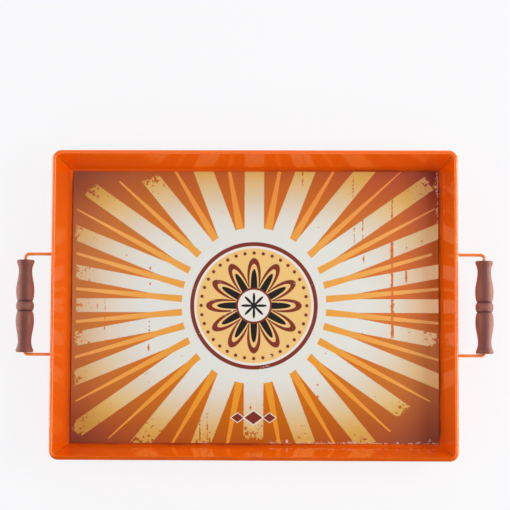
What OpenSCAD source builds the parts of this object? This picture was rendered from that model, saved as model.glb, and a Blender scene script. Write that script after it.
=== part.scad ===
// Serving tray: a pressed steel pan with a rolled rim, a printed panel bonded to
// its floor, and a swinging wire handle with a turned wooden grip at each end.
// Millimetres. +Z is up, X runs along the tray from handle to handle, and the
// origin is under the middle of the tray, on the surface that it stands on.

/* [Tray pan] */
// Length of the tray over its rim, along X
rim_length = 400; // [300:1:520]
// Width of the tray over its rim, along Y
rim_width = 305; // [220:1:400]
// Height of the tray from its base to the top of its rim
tray_height = 45; // [38:1:70]
// Thickness of the steel sheet
sheet = 0.7; // [0.5:0.05:1]
// Lean of the walls, in degrees from upright
wall_flare = 13; // [8:0.5:20]
// Inside radius of the bend between floor and walls
floor_bend = 1.5; // [1:0.25:3]
// Outside diameter of the rolled rim
curl_diameter = 4; // [3.5:0.25:5.5]
// Angle of the roll that is left open beside the wall, in degrees
curl_opening = 68; // [50:1:90]
// Outside radius of the rim at the tray's corners
rim_corner = 9; // [7:0.5:14]
// Rounding of the creases in which two walls meet
crease_round = 0.3; // [0.2:0.05:0.6]

/* [Printed panel] */
// Thickness of the printed panel
panel_thickness = 1; // [0.6:0.1:2]
// Gap between the panel's edges and the bend of the floor
panel_gap = 1.1; // [0.3:0.1:2]
// Corner radius of the panel
panel_corner = 1.5; // [0.5:0.25:4]
// Thickness of the adhesive film under the panel
film_thickness = 0.3; // [0.1:0.05:0.5]
// Distance that the film stops short of the panel's edges
film_margin = 6; // [2:0.5:15]

/* [Handle wires] */
// Diameter of the wire
wire_diameter = 3; // [2.5:0.1:3.5]
// Distance from the rim's outer edge to the axis of the grip
handle_reach = 26; // [20:0.5:45]
// Centre-line radius of the bends beside the grip
grip_bend = 3.5; // [3:0.25:5]
// Centre-line radius of the bends beside the hinge
pin_bend = 3; // [2.5:0.25:5]
// Length of each hinge pin that stands out of its lug
pin_proud = 1.5; // [0.5:0.25:4]

/* [Grips] */
// Length of the wooden grip
grip_length = 91; // [75:1:120]
// Diameter of the bead at the middle of the grip
bead_diameter = 17.6; // [15:0.2:22]
// Diameter of the grooves on both sides of the bead
groove_diameter = 13.6; // [11:0.2:15]
// Distance between the two grooves
groove_spacing = 9.6; // [7:0.2:12]
// Diameter of the grip at its two bellies
belly_diameter = 18; // [16:0.25:24]
// Distance from the grip's end to the widest point of the belly
belly_setback = 30.5; // [24:0.5:32]
// Diameter of the grip at its two necks
neck_diameter = 13.2; // [11:0.2:15]
// Distance from the grip's end to the narrowest point of the neck
neck_setback = 10.5; // [7:0.5:16]
// Diameter of the grip at its end flanges
flange_diameter = 17.5; // [16:0.25:24]
// Distance from the grip's end to the widest point of the flange
flange_setback = 2; // [1.5:0.1:4]
// Rounding of the flange at the grip's end
flange_round = 0.8; // [0.5:0.1:2.5]
// Gap all round between the wire and the bore of the grip
bore_clearance = 0.3; // [0.2:0.05:0.6]
// Length that the grip is free to slide between the two legs of its wire
grip_play = 5; // [3:0.25:10]
// Gap between the grip and the leg that it has slid to
grip_rest_gap = 0.5; // [0.3:0.1:1.5]

/* [Hinge lugs] */
// Thickness of the lug's sheet
lug_sheet = 0.8; // [0.6:0.1:1.2]
// Length of the lug along the hinge
lug_length = 15; // [10:0.5:25]
// Height of the lug's plate below the hinge
lug_plate = 13; // [8:0.5:18]
// Gap all round between the hinge pin and the lug's eye
pin_clearance = 0.06; // [0.02:0.01:0.1]
// Gap between the lug's eye and the rolled rim above it
lug_gap = 1.1; // [0.5:0.1:2]
// Gap between the lug and the bend of the wire beside it
lug_side_gap = 1; // [0.4:0.1:2]

/* [Hidden] */
$fn = 64;

lacquer = "#e8590c";
print_ground = "#c98a4b";
film_clear = "#e9e2cf";
stained_wood = "#8a4a35";

// The rim turns each corner round an upright axis at these distances from the middle
axis_x = rim_length / 2 - rim_corner;
axis_y = rim_width / 2 - rim_corner;

// Wall section, with r measured outward from the corner axis and z upward. The wall's
// inner face is tangent to the curl at its head and to the floor bend at its foot.
wall_out = [cos(wall_flare), -sin(wall_flare)];
wall_up = [sin(wall_flare), cos(wall_flare)];
curl_middle = [rim_corner - curl_diameter / 2, tray_height - curl_diameter / 2];
bend_z = sheet + floor_bend;
wall_run = floor_bend + curl_diameter / 2 + (curl_middle[1] - bend_z) * sin(wall_flare);
bend_middle = [to_hundredth(curl_middle[0] - wall_run / cos(wall_flare)), bend_z];
wall_foot = bend_middle + floor_bend * wall_out;
curl_start = 180 - wall_flare;
curl_end = curl_start + curl_opening - 360;
bend_steps = 3;
curl_steps = 14;
corner_steps = 6;

// Half sizes of the flat part of the floor
floor_x = axis_x + bend_middle[0];
floor_y = axis_y + bend_middle[0];

// Half sizes of the panel, and the height of its underside
panel_x = floor_x - panel_gap;
panel_y = floor_y - panel_gap;
panel_z = sheet + film_thickness;

// Hinge of a handle, in the wall section: the lug's eye lies against the wall's outside
eye_bore = wire_diameter / 2 + pin_clearance;
eye_radius = eye_bore + lug_sheet;
hinge_z = tray_height - curl_diameter - lug_gap - eye_radius;
hinge_r = to_hundredth(wall_foot[0] + (hinge_z - wall_foot[1]) * tan(wall_flare)
  + (sheet + eye_radius) / cos(wall_flare));
hinge_x = axis_x + hinge_r;
lug_top = [hinge_r, hinge_z] - eye_radius * wall_out;

// Handle seen from above: legs at leg_y, with their pins turned in towards each other
grip_x = rim_length / 2 + handle_reach;
leg_y = (grip_length + grip_play + wire_diameter) / 2;
lug_end_y = leg_y - pin_bend - lug_side_gap;
lug_start_y = lug_end_y - lug_length;
pin_start_y = lug_start_y - pin_proud;

// The grip has slid to the front leg, where the bend of the wire reaches into its bore
grip_slide = leg_y - wire_diameter / 2 - grip_rest_gap - grip_length / 2;
bend_reach = grip_length / 2 + grip_slide - (leg_y - grip_bend);
grip_bore = wire_diameter / 2 + bore_clearance;
countersink = max(bend_reach, 0) + bore_clearance;

// Stations of the grip's outline, as distances from its middle
groove_at = groove_spacing / 2;
belly_at = grip_length / 2 - belly_setback;
neck_at = grip_length / 2 - neck_setback;
flange_at = grip_length / 2 - flange_setback;
end_at = grip_length / 2;
outline_steps = 6;

// Length rounded to a hundredth of a millimetre
function to_hundredth(length) = round(100 * length) / 100;

// Direction at an angle from r towards z
function polar(angle) = [cos(angle), sin(angle)];

// Points along an arc round a middle point
function arc(middle, radius, from, to, steps) =
  [for (k = [0 : steps]) middle + radius * polar(from + (to - from) * k / steps)];

// Quarter of an ellipse that is 1 at share 0 and falls steeply to 0 at share 1
function round_fall(share) = sqrt(max(0, 1 - share * share));

// Value part of the way from one value to another, and how far along a value lies
function blend(from, to, share) = from + (to - from) * share;
function share_of(at, from, to) = (at - from) / (to - from);

// Diameter of the grip at a distance from its middle
function grip_diameter(at) =
  at <= groove_at ? blend(groove_diameter, bead_diameter, round_fall(at / groove_at))
  : at <= belly_at ? blend(groove_diameter, belly_diameter, round_fall(1 - share_of(at, groove_at, belly_at)))
  : at <= neck_at ? blend(belly_diameter, neck_diameter, (1 - cos(180 * share_of(at, belly_at, neck_at))) / 2)
  : at <= flange_at ? blend(neck_diameter, flange_diameter, 1 - cos(90 * share_of(at, neck_at, flange_at)))
  : flange_diameter - 2 * flange_round * (1 - round_fall(share_of(at, flange_at, end_at)));

// Distances from the middle at which the outline has a point
grip_stations = [0, groove_at, belly_at, neck_at, flange_at, end_at];
grip_steps = concat([0], [
  for (k = [1 : len(grip_stations) - 1], step = [1 : outline_steps])
    grip_stations[k - 1] + (grip_stations[k] - grip_stations[k - 1]) * step / outline_steps
]);

// Outline of the wall's sheet: from the floor's top up the inside and round the curl,
// then back inside the curl and down the outside to the floor's underside
wall_outline = concat(
  arc(bend_middle, floor_bend, -90, -wall_flare, bend_steps),
  arc(curl_middle, curl_diameter / 2, curl_start, curl_end, curl_steps),
  arc(curl_middle, curl_diameter / 2 - sheet, curl_end, curl_start, curl_steps),
  arc(bend_middle, floor_bend + sheet, -wall_flare, -90, bend_steps)
);

// A point of the outline carried round the tray: it turns the corners in an arc, or in a
// narrow crease where it lies nearer to the middle of the tray than the corner axis
function ring(point) = [
  for (corner = [0 : 3], step = [0 : corner_steps])
    let (inset = min(point[0] - crease_round, 0))
    let (turn = max(point[0], crease_round) * polar(90 * (corner + step / corner_steps)))
    let (side = [corner == 0 || corner == 3 ? 1 : -1, corner < 2 ? 1 : -1])
    [side[0] * (axis_x + inset) + turn[0], side[1] * (axis_y + inset) + turn[1], point[1]]
];

// One sheet of steel: the rings joined side by side, closed by the floor's two faces
module tray_pan() {
  rings = len(wall_outline);
  stations = 4 * (corner_steps + 1);
  strips = [
    for (k = [0 : rings - 2], i = [0 : stations - 1])
      let (here = k * stations, next = (i + 1) % stations)
      [here + i, here + next, here + stations + next, here + stations + i]
  ];
  floor_top = [for (i = [stations - 1 : -1 : 0]) i];
  floor_under = [for (i = [0 : stations - 1]) (rings - 1) * stations + i];
  color(lacquer)
    polyhedron(
      points = [for (point = wall_outline) each ring(point)],
      faces = concat(strips, [floor_top, floor_under]),
      convexity = 8
    );
}

// Flat plate with round corners, given by its half sizes
module rounded_plate(half_x, half_y, corner, thickness) {
  linear_extrude(height = thickness) {
    square([2 * half_x, 2 * (half_y - corner)], center = true);
    square([2 * (half_x - corner), 2 * half_y], center = true);
    for (x = [-1, 1], y = [-1, 1])
      translate([x * (half_x - corner), y * (half_y - corner)])
        circle(r = corner);
  }
}

module printed_panel() {
  color(print_ground)
    translate([0, 0, panel_z])
      rounded_plate(panel_x, panel_y, panel_corner, panel_thickness);
}

module panel_adhesive() {
  color(film_clear)
    translate([0, 0, sheet])
      rounded_plate(panel_x - film_margin, panel_y - film_margin, panel_corner, film_thickness);
}

// Hinge lug on the wall at the +X end, from lug_start_y to lug_end_y
module lug() {
  color(lacquer)
    translate([axis_x, lug_end_y, 0])
      rotate([90, 0, 0])
        difference() {
          union() {
            linear_extrude(height = lug_length)
              polygon([
                lug_top,
                lug_top + lug_sheet * wall_out,
                lug_top + lug_sheet * wall_out - lug_plate * wall_up,
                lug_top - lug_plate * wall_up
              ]);
            translate([hinge_r, hinge_z, 0])
              cylinder(h = lug_length, r = eye_radius);
          }
          translate([hinge_r, hinge_z, -lug_length])
            cylinder(h = 3 * lug_length, r = eye_bore);
        }
}

module lug_right_rear() {
  lug();
}

module lug_right_front() {
  mirror([0, 1, 0])
    lug();
}

module lug_left_rear() {
  mirror([1, 0, 0])
    lug_right_rear();
}

module lug_left_front() {
  mirror([1, 0, 0])
    lug_right_front();
}

// Quarter turn of wire round a middle point, starting at an angle from +X
module wire_bend(middle, start, radius) {
  translate(middle)
    rotate(start)
      rotate_extrude(angle = 90)
        translate([radius, 0])
          circle(d = wire_diameter);
}

// Straight wire along X or along Y
module wire_along_x(from, to, y) {
  translate([from, y, 0])
    rotate([0, 90, 0])
      cylinder(h = to - from, d = wire_diameter);
}

module wire_along_y(from, to, x) {
  translate([x, from, 0])
    rotate([-90, 0, 0])
      cylinder(h = to - from, d = wire_diameter);
}

// Rear half of the wire at the +X end: pin, leg and the two bends beside them
module wire_half() {
  wire_along_y(pin_start_y, leg_y - pin_bend, hinge_x);
  wire_bend([hinge_x + pin_bend, leg_y - pin_bend, 0], 90, pin_bend);
  wire_along_x(hinge_x + pin_bend, grip_x - grip_bend, leg_y);
  wire_bend([grip_x - grip_bend, leg_y - grip_bend, 0], 0, grip_bend);
}

module handle_wire_right() {
  color(lacquer)
    translate([0, 0, hinge_z]) {
      wire_half();
      mirror([0, 1, 0])
        wire_half();
      wire_along_y(grip_bend - leg_y, leg_y - grip_bend, grip_x);
    }
}

module handle_wire_left() {
  mirror([1, 0, 0])
    handle_wire_right();
}

// Turned grip along Z, bored for the wire and countersunk at both ends
module turned_grip() {
  last = len(grip_steps) - 1;
  difference() {
    rotate_extrude()
      polygon(concat(
        [[0, -end_at]],
        [for (k = [last : -1 : 0]) [grip_diameter(grip_steps[k]) / 2, -grip_steps[k]]],
        [for (k = [1 : last]) [grip_diameter(grip_steps[k]) / 2, grip_steps[k]]],
        [[0, end_at]]
      ));
    cylinder(h = 2 * grip_length, r = grip_bore, center = true);
    for (end = [0, 180])
      rotate([end, 0, 0])
        translate([0, 0, end_at - countersink])
          cylinder(h = 2 * countersink, r1 = grip_bore, r2 = grip_bore + 2 * countersink);
  }
}

module grip_right() {
  color(stained_wood)
    translate([grip_x, -grip_slide, hinge_z])
      rotate([-90, 0, 0])
        turned_grip();
}

module grip_left() {
  mirror([1, 0, 0])
    grip_right();
}

tray_pan();
printed_panel();
panel_adhesive();
lug_left_front();
lug_left_rear();
lug_right_front();
lug_right_rear();
handle_wire_left();
handle_wire_right();
grip_left();
grip_right();
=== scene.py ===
# %% [markdown]
# # A pressed steel serving tray
# The tray is one pan of pressed sheet steel, lacquered orange, with a printed panel bonded to its
# floor and a swinging wire handle with a turned wooden grip at each end. The exact solids come
# first, as a fixed frame in metres, and every piece made below is fitted over one of them, so the
# looks can't drift away from the sizes.

# %% Load the exact solids
import math
import random

import bmesh
import bpy
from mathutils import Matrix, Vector


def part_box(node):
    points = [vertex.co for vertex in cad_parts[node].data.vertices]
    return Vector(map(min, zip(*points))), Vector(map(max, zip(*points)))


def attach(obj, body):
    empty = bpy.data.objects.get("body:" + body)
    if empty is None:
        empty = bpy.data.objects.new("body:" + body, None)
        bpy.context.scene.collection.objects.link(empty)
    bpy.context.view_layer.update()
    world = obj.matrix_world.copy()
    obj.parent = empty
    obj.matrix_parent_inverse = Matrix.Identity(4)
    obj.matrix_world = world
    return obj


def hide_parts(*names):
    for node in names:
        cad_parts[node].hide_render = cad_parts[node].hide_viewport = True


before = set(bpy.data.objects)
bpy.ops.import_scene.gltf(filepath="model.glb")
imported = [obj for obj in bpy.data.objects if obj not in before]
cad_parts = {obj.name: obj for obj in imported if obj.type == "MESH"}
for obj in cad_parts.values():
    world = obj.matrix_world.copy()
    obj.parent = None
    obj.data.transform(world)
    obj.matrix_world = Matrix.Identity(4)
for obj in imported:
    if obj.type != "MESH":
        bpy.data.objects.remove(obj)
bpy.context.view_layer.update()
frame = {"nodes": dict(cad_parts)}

MM = 0.001
scene = bpy.context.scene
scene.view_settings.view_transform = "Standard"
print("nodes:", ", ".join(frame["nodes"]))

# %% [markdown]
# ## Sizes
# A looks model often repeats the sizes of its drawing, and goes wrong when the drawing changes. Here
# what the frame can tell is measured from it, in millimetres. The remaining sizes say how the sheet
# is bent and how the wire and the grip are shaped, and they stand in the cells that use them.

# %% Measure the frame
def box_mm(node):
    low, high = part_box(node)
    return low / MM, high / MM


rim_x, rim_y, rim_top = box_mm("tray_pan")[1]
panel_low, panel_high = box_mm("printed_panel")
wire_low, wire_high = box_mm("handle_wire_right")
lug_low, lug_high = box_mm("lug_right_rear")
grip_low, grip_high = box_mm("grip_right")
wire_radius = (wire_high.z - wire_low.z) / 2
hinge_x = wire_low.x + wire_radius
hinge_z = (wire_low.z + wire_high.z) / 2
grip_x = wire_high.x - wire_radius
grip_y = (grip_low.y + grip_high.y) / 2
leg_y = wire_high.y - wire_radius
print("rim", rim_x, rim_y, rim_top, "hinge", hinge_x, hinge_z, "grip", grip_x, "leg", leg_y)

# %% [markdown]
# ## Camera
# The camera stands almost straight above the open side of the tray, far away and with a long lens,
# which keeps the two walls of each pair nearly equally wide. A camera could be aimed at an empty with
# a constraint. Plain numbers were chosen instead, because its place was worked out from the rim's
# corners and the floor's edges.

# %% Camera
CAMERA_PLACE = (0.0387, -0.0999, 1.8394)
CAMERA_TURN = (4.73, 1.19, 0.25)
CAMERA_LENS = 129.46
CAMERA_SENSOR = 36.0

camera = bpy.data.objects.new("camera", bpy.data.cameras.new("camera"))
camera.location = CAMERA_PLACE
camera.rotation_euler = [math.radians(angle) for angle in CAMERA_TURN]
camera.data.lens = CAMERA_LENS
camera.data.sensor_width = CAMERA_SENSOR
scene.collection.objects.link(camera)
scene.camera = camera
print("camera", CAMERA_LENS, "mm lens at", CAMERA_PLACE)

# %% [markdown]
# ## Sums in shaders
# A printed pattern is arithmetic on the place of each point. It could be wired by hand in the shader
# editor, but dozens of Math nodes are hard to read. The class Field wraps one socket, and its
# operators add the Math node that they stand for, so that a shader sum reads like any other sum.

# %% A value that changes over the surface
def feed(socket, value):
    """Link a field to a socket, or set a plain value on it."""
    if isinstance(value, Field):
        value.tree.links.new(value.socket, socket)
    else:
        socket.default_value = value


class Field:
    def __init__(self, socket):
        self.socket = socket
        self.tree = socket.id_data

    def math(self, operation, *others):
        node = self.tree.nodes.new("ShaderNodeMath")
        node.operation = operation
        for socket, value in zip(node.inputs, (self, *others)):
            feed(socket, value)
        return Field(node.outputs[0])

    def __add__(self, other):
        return self.math("ADD", other)

    def __sub__(self, other):
        return self.math("SUBTRACT", other)

    def __mul__(self, other):
        return self.math("MULTIPLY", other)

    def __truediv__(self, other):
        return self.math("DIVIDE", other)

    def __neg__(self):
        return self * -1.0

    def __abs__(self):
        return self.math("ABSOLUTE")

    def __or__(self, other):
        return self.math("MAXIMUM", other)

    def __and__(self, other):
        return self.math("MINIMUM", other)

    def without(self, other):
        """This mask where the other one is 0."""
        return self * (-other + 1.0)


print("fields take + - * / | & and abs")

# %% [markdown]
# Most edges in a print or a finish are a limit on some value, so the step is the tool used most. It
# could be a Greater Than node, but that gives stair-stepped edges. A smooth step with a small blur
# keeps them clean at any distance. Colours are written as a picture program shows them.

# %% Steps, ramps and mixes
# A Mix node has its own sockets for each kind of data. These numbers are those of its colours.
MIX_SHARE, MIX_UNDER, MIX_OVER, MIX_RESULT = 0, 6, 7, 2


def add_node(tree, kind, inputs=None, **settings):
    node = tree.nodes.new("ShaderNode" + kind)
    for name, value in settings.items():
        setattr(node, name, value)
    for name, value in (inputs or {}).items():
        feed(node.inputs[name], value)
    return node


def below(value, limit, blur):
    """1 where value is under limit and 0 where it is over it, with a soft edge."""
    node = add_node(value.tree, "MapRange", interpolation_type="SMOOTHSTEP")
    feed(node.inputs["Value"], -value + limit)
    node.inputs["From Min"].default_value = -blur
    node.inputs["From Max"].default_value = blur
    return Field(node.outputs["Result"])


def above(value, limit, blur):
    """1 where value is over limit and 0 where it is under it, with a soft edge."""
    return below(-value, -limit, blur)


def any_of(masks):
    """1 where any of the masks is 1."""
    joined = masks[0]
    for mask in masks[1:]:
        joined = joined | mask
    return joined


def srgb(red, green, blue):
    """The linear colour of a colour as a picture program writes it, 0 to 255."""
    def linear(part):
        part = part / 255
        return part / 12.92 if part <= 0.04045 else ((part + 0.055) / 1.055) ** 2.4
    return (linear(red), linear(green), linear(blue), 1.0)


def ramp(value, stops):
    """A colour ramp through (place, colour) stops."""
    node = add_node(value.tree, "ValToRGB")
    elements = node.color_ramp.elements
    while len(elements) < len(stops):
        elements.new(0.5)
    for element, (place, colour) in zip(elements, stops):
        element.position = place
        element.color = colour
    feed(node.inputs["Fac"], value)
    return Field(node.outputs["Color"])


def mix(share, under, over):
    """Colour that goes from under to over as share goes from 0 to 1."""
    node = add_node(share.tree, "Mix", data_type="RGBA")
    feed(node.inputs[MIX_SHARE], share)
    feed(node.inputs[MIX_UNDER], under)
    feed(node.inputs[MIX_OVER], over)
    return Field(node.outputs[MIX_RESULT])


print("steps, ramps and mixes ready")

# %% [markdown]
# ## Effects that several finishes share
# Nothing that is sprayed, sawn or rubbed is even, so every finish needs noise. The Noise node asks for
# a number of features per unit. Here the size of a feature is given instead, in millimetres, because
# that can be measured on a real tray.

# %% Noise
def noise(place, size, detail=2.0, roughness=0.5):
    """Cloudy noise from 0 to 1, whose features are about this size across."""
    scale = size.math("POWER", -1.0) if isinstance(size, Field) else 1 / size
    inputs = {"Vector": place, "Scale": scale, "Detail": detail, "Roughness": roughness}
    return Field(add_node(place.tree, "TexNoise", inputs).outputs["Fac"])


def stretched(place, x=1.0, y=1.0, z=1.0):
    """The place with each direction squeezed by a factor, which draws noise out along it."""
    node = add_node(place.tree, "VectorMath", operation="MULTIPLY")
    feed(node.inputs[0], place)
    node.inputs[1].default_value = (x, y, z)
    return Field(node.outputs[0])


def axes(place):
    """The place's X, Y and Z."""
    parts = add_node(place.tree, "SeparateXYZ", {"Vector": place})
    return [Field(parts.outputs[axis]) for axis in "XYZ"]


print("noise ready")

# %% [markdown]
# Three small node groups are built once and placed where they are needed: flecks for worn print,
# ripple for the slight unevenness of a sprayed or varnished surface, and streaks for the grain of
# wood and the fibres of board. Copying the nodes into each material would work too, but then a change
# has to be made in each copy. A group takes a place in millimetres and puts out a mask or a height.

# %% Node groups
FLECK_FLOOR, FLECK_SPAN, FLECK_BLUR = 0.22, 0.5, 0.02
WAVE_SHARE, GRIT_SHARE = 0.8, 0.2
GRAIN_SQUEEZE = 0.045


def start_group(name, inputs, output):
    group = bpy.data.node_groups.new(name, "ShaderNodeTree")
    group.interface.new_socket("Place", in_out="INPUT", socket_type="NodeSocketVector")
    for label, default in inputs.items():
        socket = group.interface.new_socket(label, in_out="INPUT", socket_type="NodeSocketFloat")
        socket.default_value = default
    group.interface.new_socket(output, in_out="OUTPUT", socket_type="NodeSocketFloat")
    entry = group.nodes.new("NodeGroupInput")
    leave = group.nodes.new("NodeGroupOutput")
    given = {socket.name: Field(socket) for socket in entry.outputs if socket.name}
    return group, given, leave.inputs[output]


flecks_group, given, out = start_group("flecks", {"Size": 2.0, "Share": 0.3}, "Mask")
cloud = noise(given["Place"], given["Size"], 3.0, 0.65)
feed(out, below(cloud, given["Share"] * FLECK_SPAN + FLECK_FLOOR, FLECK_BLUR))

ripple_group, given, out = start_group("ripple", {"Wave": 40.0, "Grit": 0.8}, "Height")
wave = noise(given["Place"], given["Wave"], 1.0)
grit = noise(given["Place"], given["Grit"], 1.0)
feed(out, wave * WAVE_SHARE + grit * GRIT_SHARE)

streaks_group, given, out = start_group("streaks", {"Width": 1.0}, "Mask")
long_place = stretched(given["Place"], y=GRAIN_SQUEEZE)
feed(out, noise(long_place, given["Width"], 4.0, 0.7))
print("groups:", [group.name for group in bpy.data.node_groups])

# %% [markdown]
# Each finish is one Principled shader. A UV map could carry its pattern, but a tray is made of
# plain forms whose places are known, so object coordinates in millimetres do the same without any
# unwrapping, and a pattern keeps its real size on every piece.

# %% Starting a finish
def place_group(group, place, **values):
    node = add_node(place.tree, "Group", node_tree=group)
    feed(node.inputs["Place"], place)
    for name, value in values.items():
        feed(node.inputs[name], value)
    return Field(node.outputs[0])


def start_finish(name, **sockets):
    """A material, its shader with plain values set, and the place in millimetres."""
    material = bpy.data.materials.new(name)
    material.use_nodes = True
    tree = material.node_tree
    shader = tree.nodes["Principled BSDF"]
    for socket, value in sockets.items():
        shader.inputs[socket.replace("_", " ").title().replace("Ior", "IOR")].default_value = value
    coordinates = add_node(tree, "TexCoord")
    place = add_node(tree, "VectorMath", operation="SCALE")
    tree.links.new(coordinates.outputs["Object"], place.inputs[0])
    place.inputs["Scale"].default_value = 1 / MM
    print("finish", material.name)
    return material, shader, Field(place.outputs[0])


def add_bump(shader, height, depth_mm, strength=1.0):
    bump = add_node(height.tree, "Bump", {"Height": height})
    bump.inputs["Strength"].default_value = strength
    bump.inputs["Distance"].default_value = depth_mm * MM
    height.tree.links.new(bump.outputs["Normal"], shader.inputs["Normal"])


print("finishes can start")

# %% [markdown]
# ## Orange lacquer
# The pan and the lugs are sprayed with one glossy orange lacquer. A flat orange would look like
# plastic. What makes it look real is the gloss: a low roughness that varies a little, and a ripple
# that bends reflections as sprayed paint on thin sheet does. Hands have polished the rim, which a
# clear coat on the top few millimetres shows as a finer highlight. The front rim, on which the tray
# is stood when it is put away, is scuffed duller instead, and its outside is darkened with painted shade.

# %% Orange lacquer
ORANGE_DEEP, ORANGE_BRIGHT = srgb(251, 105, 0), srgb(254, 111, 0)
ORANGE_PATCH = 60.0
GLOSS_PATCH, GLOSS, GLOSS_SPAN = 25.0, 0.02, 0.04
PEEL_WAVE, PEEL_GRIT, PEEL_DEPTH = 35.0, 4.0, 0.04
POLISHED_BAND, POLISHED_BLUR = 4.3, 0.3
FRONT_RIM_BAND, FRONT_RIM_BLUR = 3.6, 0.8
FRONT_SHADE_BROWN, SHADE_SCUFF_PATCH, SHADE_SCUFF, SHADE_SCUFF_SPAN, SCUFF_DULL = srgb(170, 58, 0), 14.0, 0.3, 0.5, 0.4


def lacquer_colour(place):
    return mix(noise(place, ORANGE_PATCH), ORANGE_DEEP, ORANGE_BRIGHT)


def lacquer_roughness(place):
    return noise(place, GLOSS_PATCH) * GLOSS_SPAN + GLOSS


def lacquer_peel(place):
    return place_group(ripple_group, place, Wave=PEEL_WAVE, Grit=PEEL_GRIT)


lacquer, shader, place = start_finish("gloss_lacquer", ior=1.25, metallic=0.15, coat_roughness=0.06)
_, y, height = axes(place)
front_rim = below(y, FRONT_RIM_BAND - rim_y, FRONT_RIM_BLUR)
polished = above(height, rim_top - POLISHED_BAND, POLISHED_BLUR).without(front_rim)
# Painted shade: the outside of the front rim is darkened brown; its raised roughness is the scuffing.
shade_and_scuff = front_rim * (noise(place, SHADE_SCUFF_PATCH) * SHADE_SCUFF_SPAN + SHADE_SCUFF)
feed(shader.inputs["Base Color"], mix(shade_and_scuff, lacquer_colour(place), FRONT_SHADE_BROWN))
feed(shader.inputs["Roughness"], lacquer_roughness(place) + shade_and_scuff * SCUFF_DULL)
feed(shader.inputs["Coat Weight"], polished)
add_bump(shader, lacquer_peel(place), PEEL_DEPTH)

# %% [markdown]
# The inside of the pan has the same lacquer, darkened in the seam at the foot of the wall, which is
# painted shade of the gap beside the panel, and along the folds at the four corners. The darkening
# could be painted on as vertex colours. Both places can be named by a sum, though, the seam by its
# height and a fold by its equal distance from two walls, so it needs no painting and follows the tray
# when its sizes change.

# %% Inside of the pan
SEAM_SHADE_AND_FOLD_BROWN, DARKENING_PATCH, SEAM_SHADE_LEAST, SEAM_SHADE_SPAN, DARKENED_DULL = srgb(118, 26, 0), 25.0, 0.35, 0.6, 0.5
SEAM_TOP, SEAM_BLUR = 1.75, 0.7
SEAM_PATCH, SEAM_RAGGED = 4.0, 0.6
FOLD_HALF, FOLD_BLUR, FOLD_DARK = 0.7, 0.5, 0.7
LONG_SIDES, LONG_SIDES_BLUR = 130.0, 6.0
SHADE_LIFT_REAR, SHADE_LIFT_REAR_X, SHADE_LIFT_REAR_BLUR = 0.75, 40.0, 120.0
SHADE_LIFT_FRONT, SHADE_LIFT_FRONT_X, SHADE_LIFT_FRONT_BLUR = 0.6, 60.0, 60.0

inside, shader, place = start_finish("pan_inside", ior=1.32, metallic=0.12)
x, y, height = axes(place)
patchy = noise(place, DARKENING_PATCH, 1.0)
at_rear = above(y, LONG_SIDES, LONG_SIDES_BLUR)
at_front = below(y, -LONG_SIDES, LONG_SIDES_BLUR)
# Less painted shade in the seam at the rear left and the front right, where the bend's lit edge shows.
shade_lifted_rear = at_rear * below(x, SHADE_LIFT_REAR_X, SHADE_LIFT_REAR_BLUR) * SHADE_LIFT_REAR
shade_lifted_front = at_front * above(x, SHADE_LIFT_FRONT_X, SHADE_LIFT_FRONT_BLUR) * SHADE_LIFT_FRONT
# Painted shade: the seam at the foot of the wall is darkened.
seam_shade = below(height + noise(place, SEAM_PATCH) * SEAM_RAGGED, SEAM_TOP, SEAM_BLUR)
seam_shade = seam_shade * (patchy * SEAM_SHADE_SPAN + SEAM_SHADE_LEAST).without(shade_lifted_rear | shade_lifted_front)
# Darker along the corner folds.
off_fold = abs((abs(x) - rim_x) - (abs(y) - rim_y))
dark_fold = below(off_fold, FOLD_HALF, FOLD_BLUR) * patchy * FOLD_DARK
seam_shade_and_fold = seam_shade | dark_fold
feed(shader.inputs["Base Color"], mix(seam_shade_and_fold, lacquer_colour(place), SEAM_SHADE_AND_FOLD_BROWN))
feed(shader.inputs["Roughness"], lacquer_roughness(place) + seam_shade_and_fold * DARKENED_DULL)
add_bump(shader, lacquer_peel(place), PEEL_DEPTH)

# %% [markdown]
# The wires are lacquered too, but hands have rubbed them. They could share the pan's finish. One of
# their own lets them be less glossy, and paler, which is painted highlight for the shine along a thin
# wire, with smaller patches that suit a thin wire.

# %% Rubbed lacquer of the wires
WIRE_HIGHLIGHT_DEEP, WIRE_HIGHLIGHT_PALE, WIRE_PATCH = srgb(238, 118, 34), srgb(244, 132, 60), 9.0
RUBBED_PATCH, RUBBED_GLOSS, RUBBED_SPAN = 5.0, 0.22, 0.15
RUBBED_WAVE, RUBBED_GRIT, RUBBED_DEPTH = 8.0, 0.8, 0.04

wire_rub_and_highlight, shader, place = start_finish("rubbed_lacquer_with_highlight", ior=1.5)
# Painted highlight: both wire colours are paler than the pan's orange, standing in for the shine along the
# wire.
feed(shader.inputs["Base Color"], mix(noise(place, WIRE_PATCH, 3.0), WIRE_HIGHLIGHT_DEEP, WIRE_HIGHLIGHT_PALE))
feed(shader.inputs["Roughness"], noise(place, RUBBED_PATCH) * RUBBED_SPAN + RUBBED_GLOSS)
add_bump(shader, place_group(ripple_group, place, Wave=RUBBED_WAVE, Grit=RUBBED_GRIT), RUBBED_DEPTH)

# %% [markdown]
# ## Meshes
# The pieces could be modelled by hand with extrusions and modifiers. Each one is a list of points and
# faces instead, worked out from the sizes, which makes it easy to follow the shape of the real piece:
# rings of points round the pan, round the wire and round the grip, joined by strips of faces. Which
# way round a face lists its points decides which side is its front, and Blender sorts that out.

# %% Making a piece
def face_outward(mesh):
    """Turn the front of every face to the outside of the closed mesh."""
    shape = bmesh.new()
    shape.from_mesh(mesh)
    bmesh.ops.recalc_face_normals(shape, faces=shape.faces)
    shape.to_mesh(mesh)
    shape.free()


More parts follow.
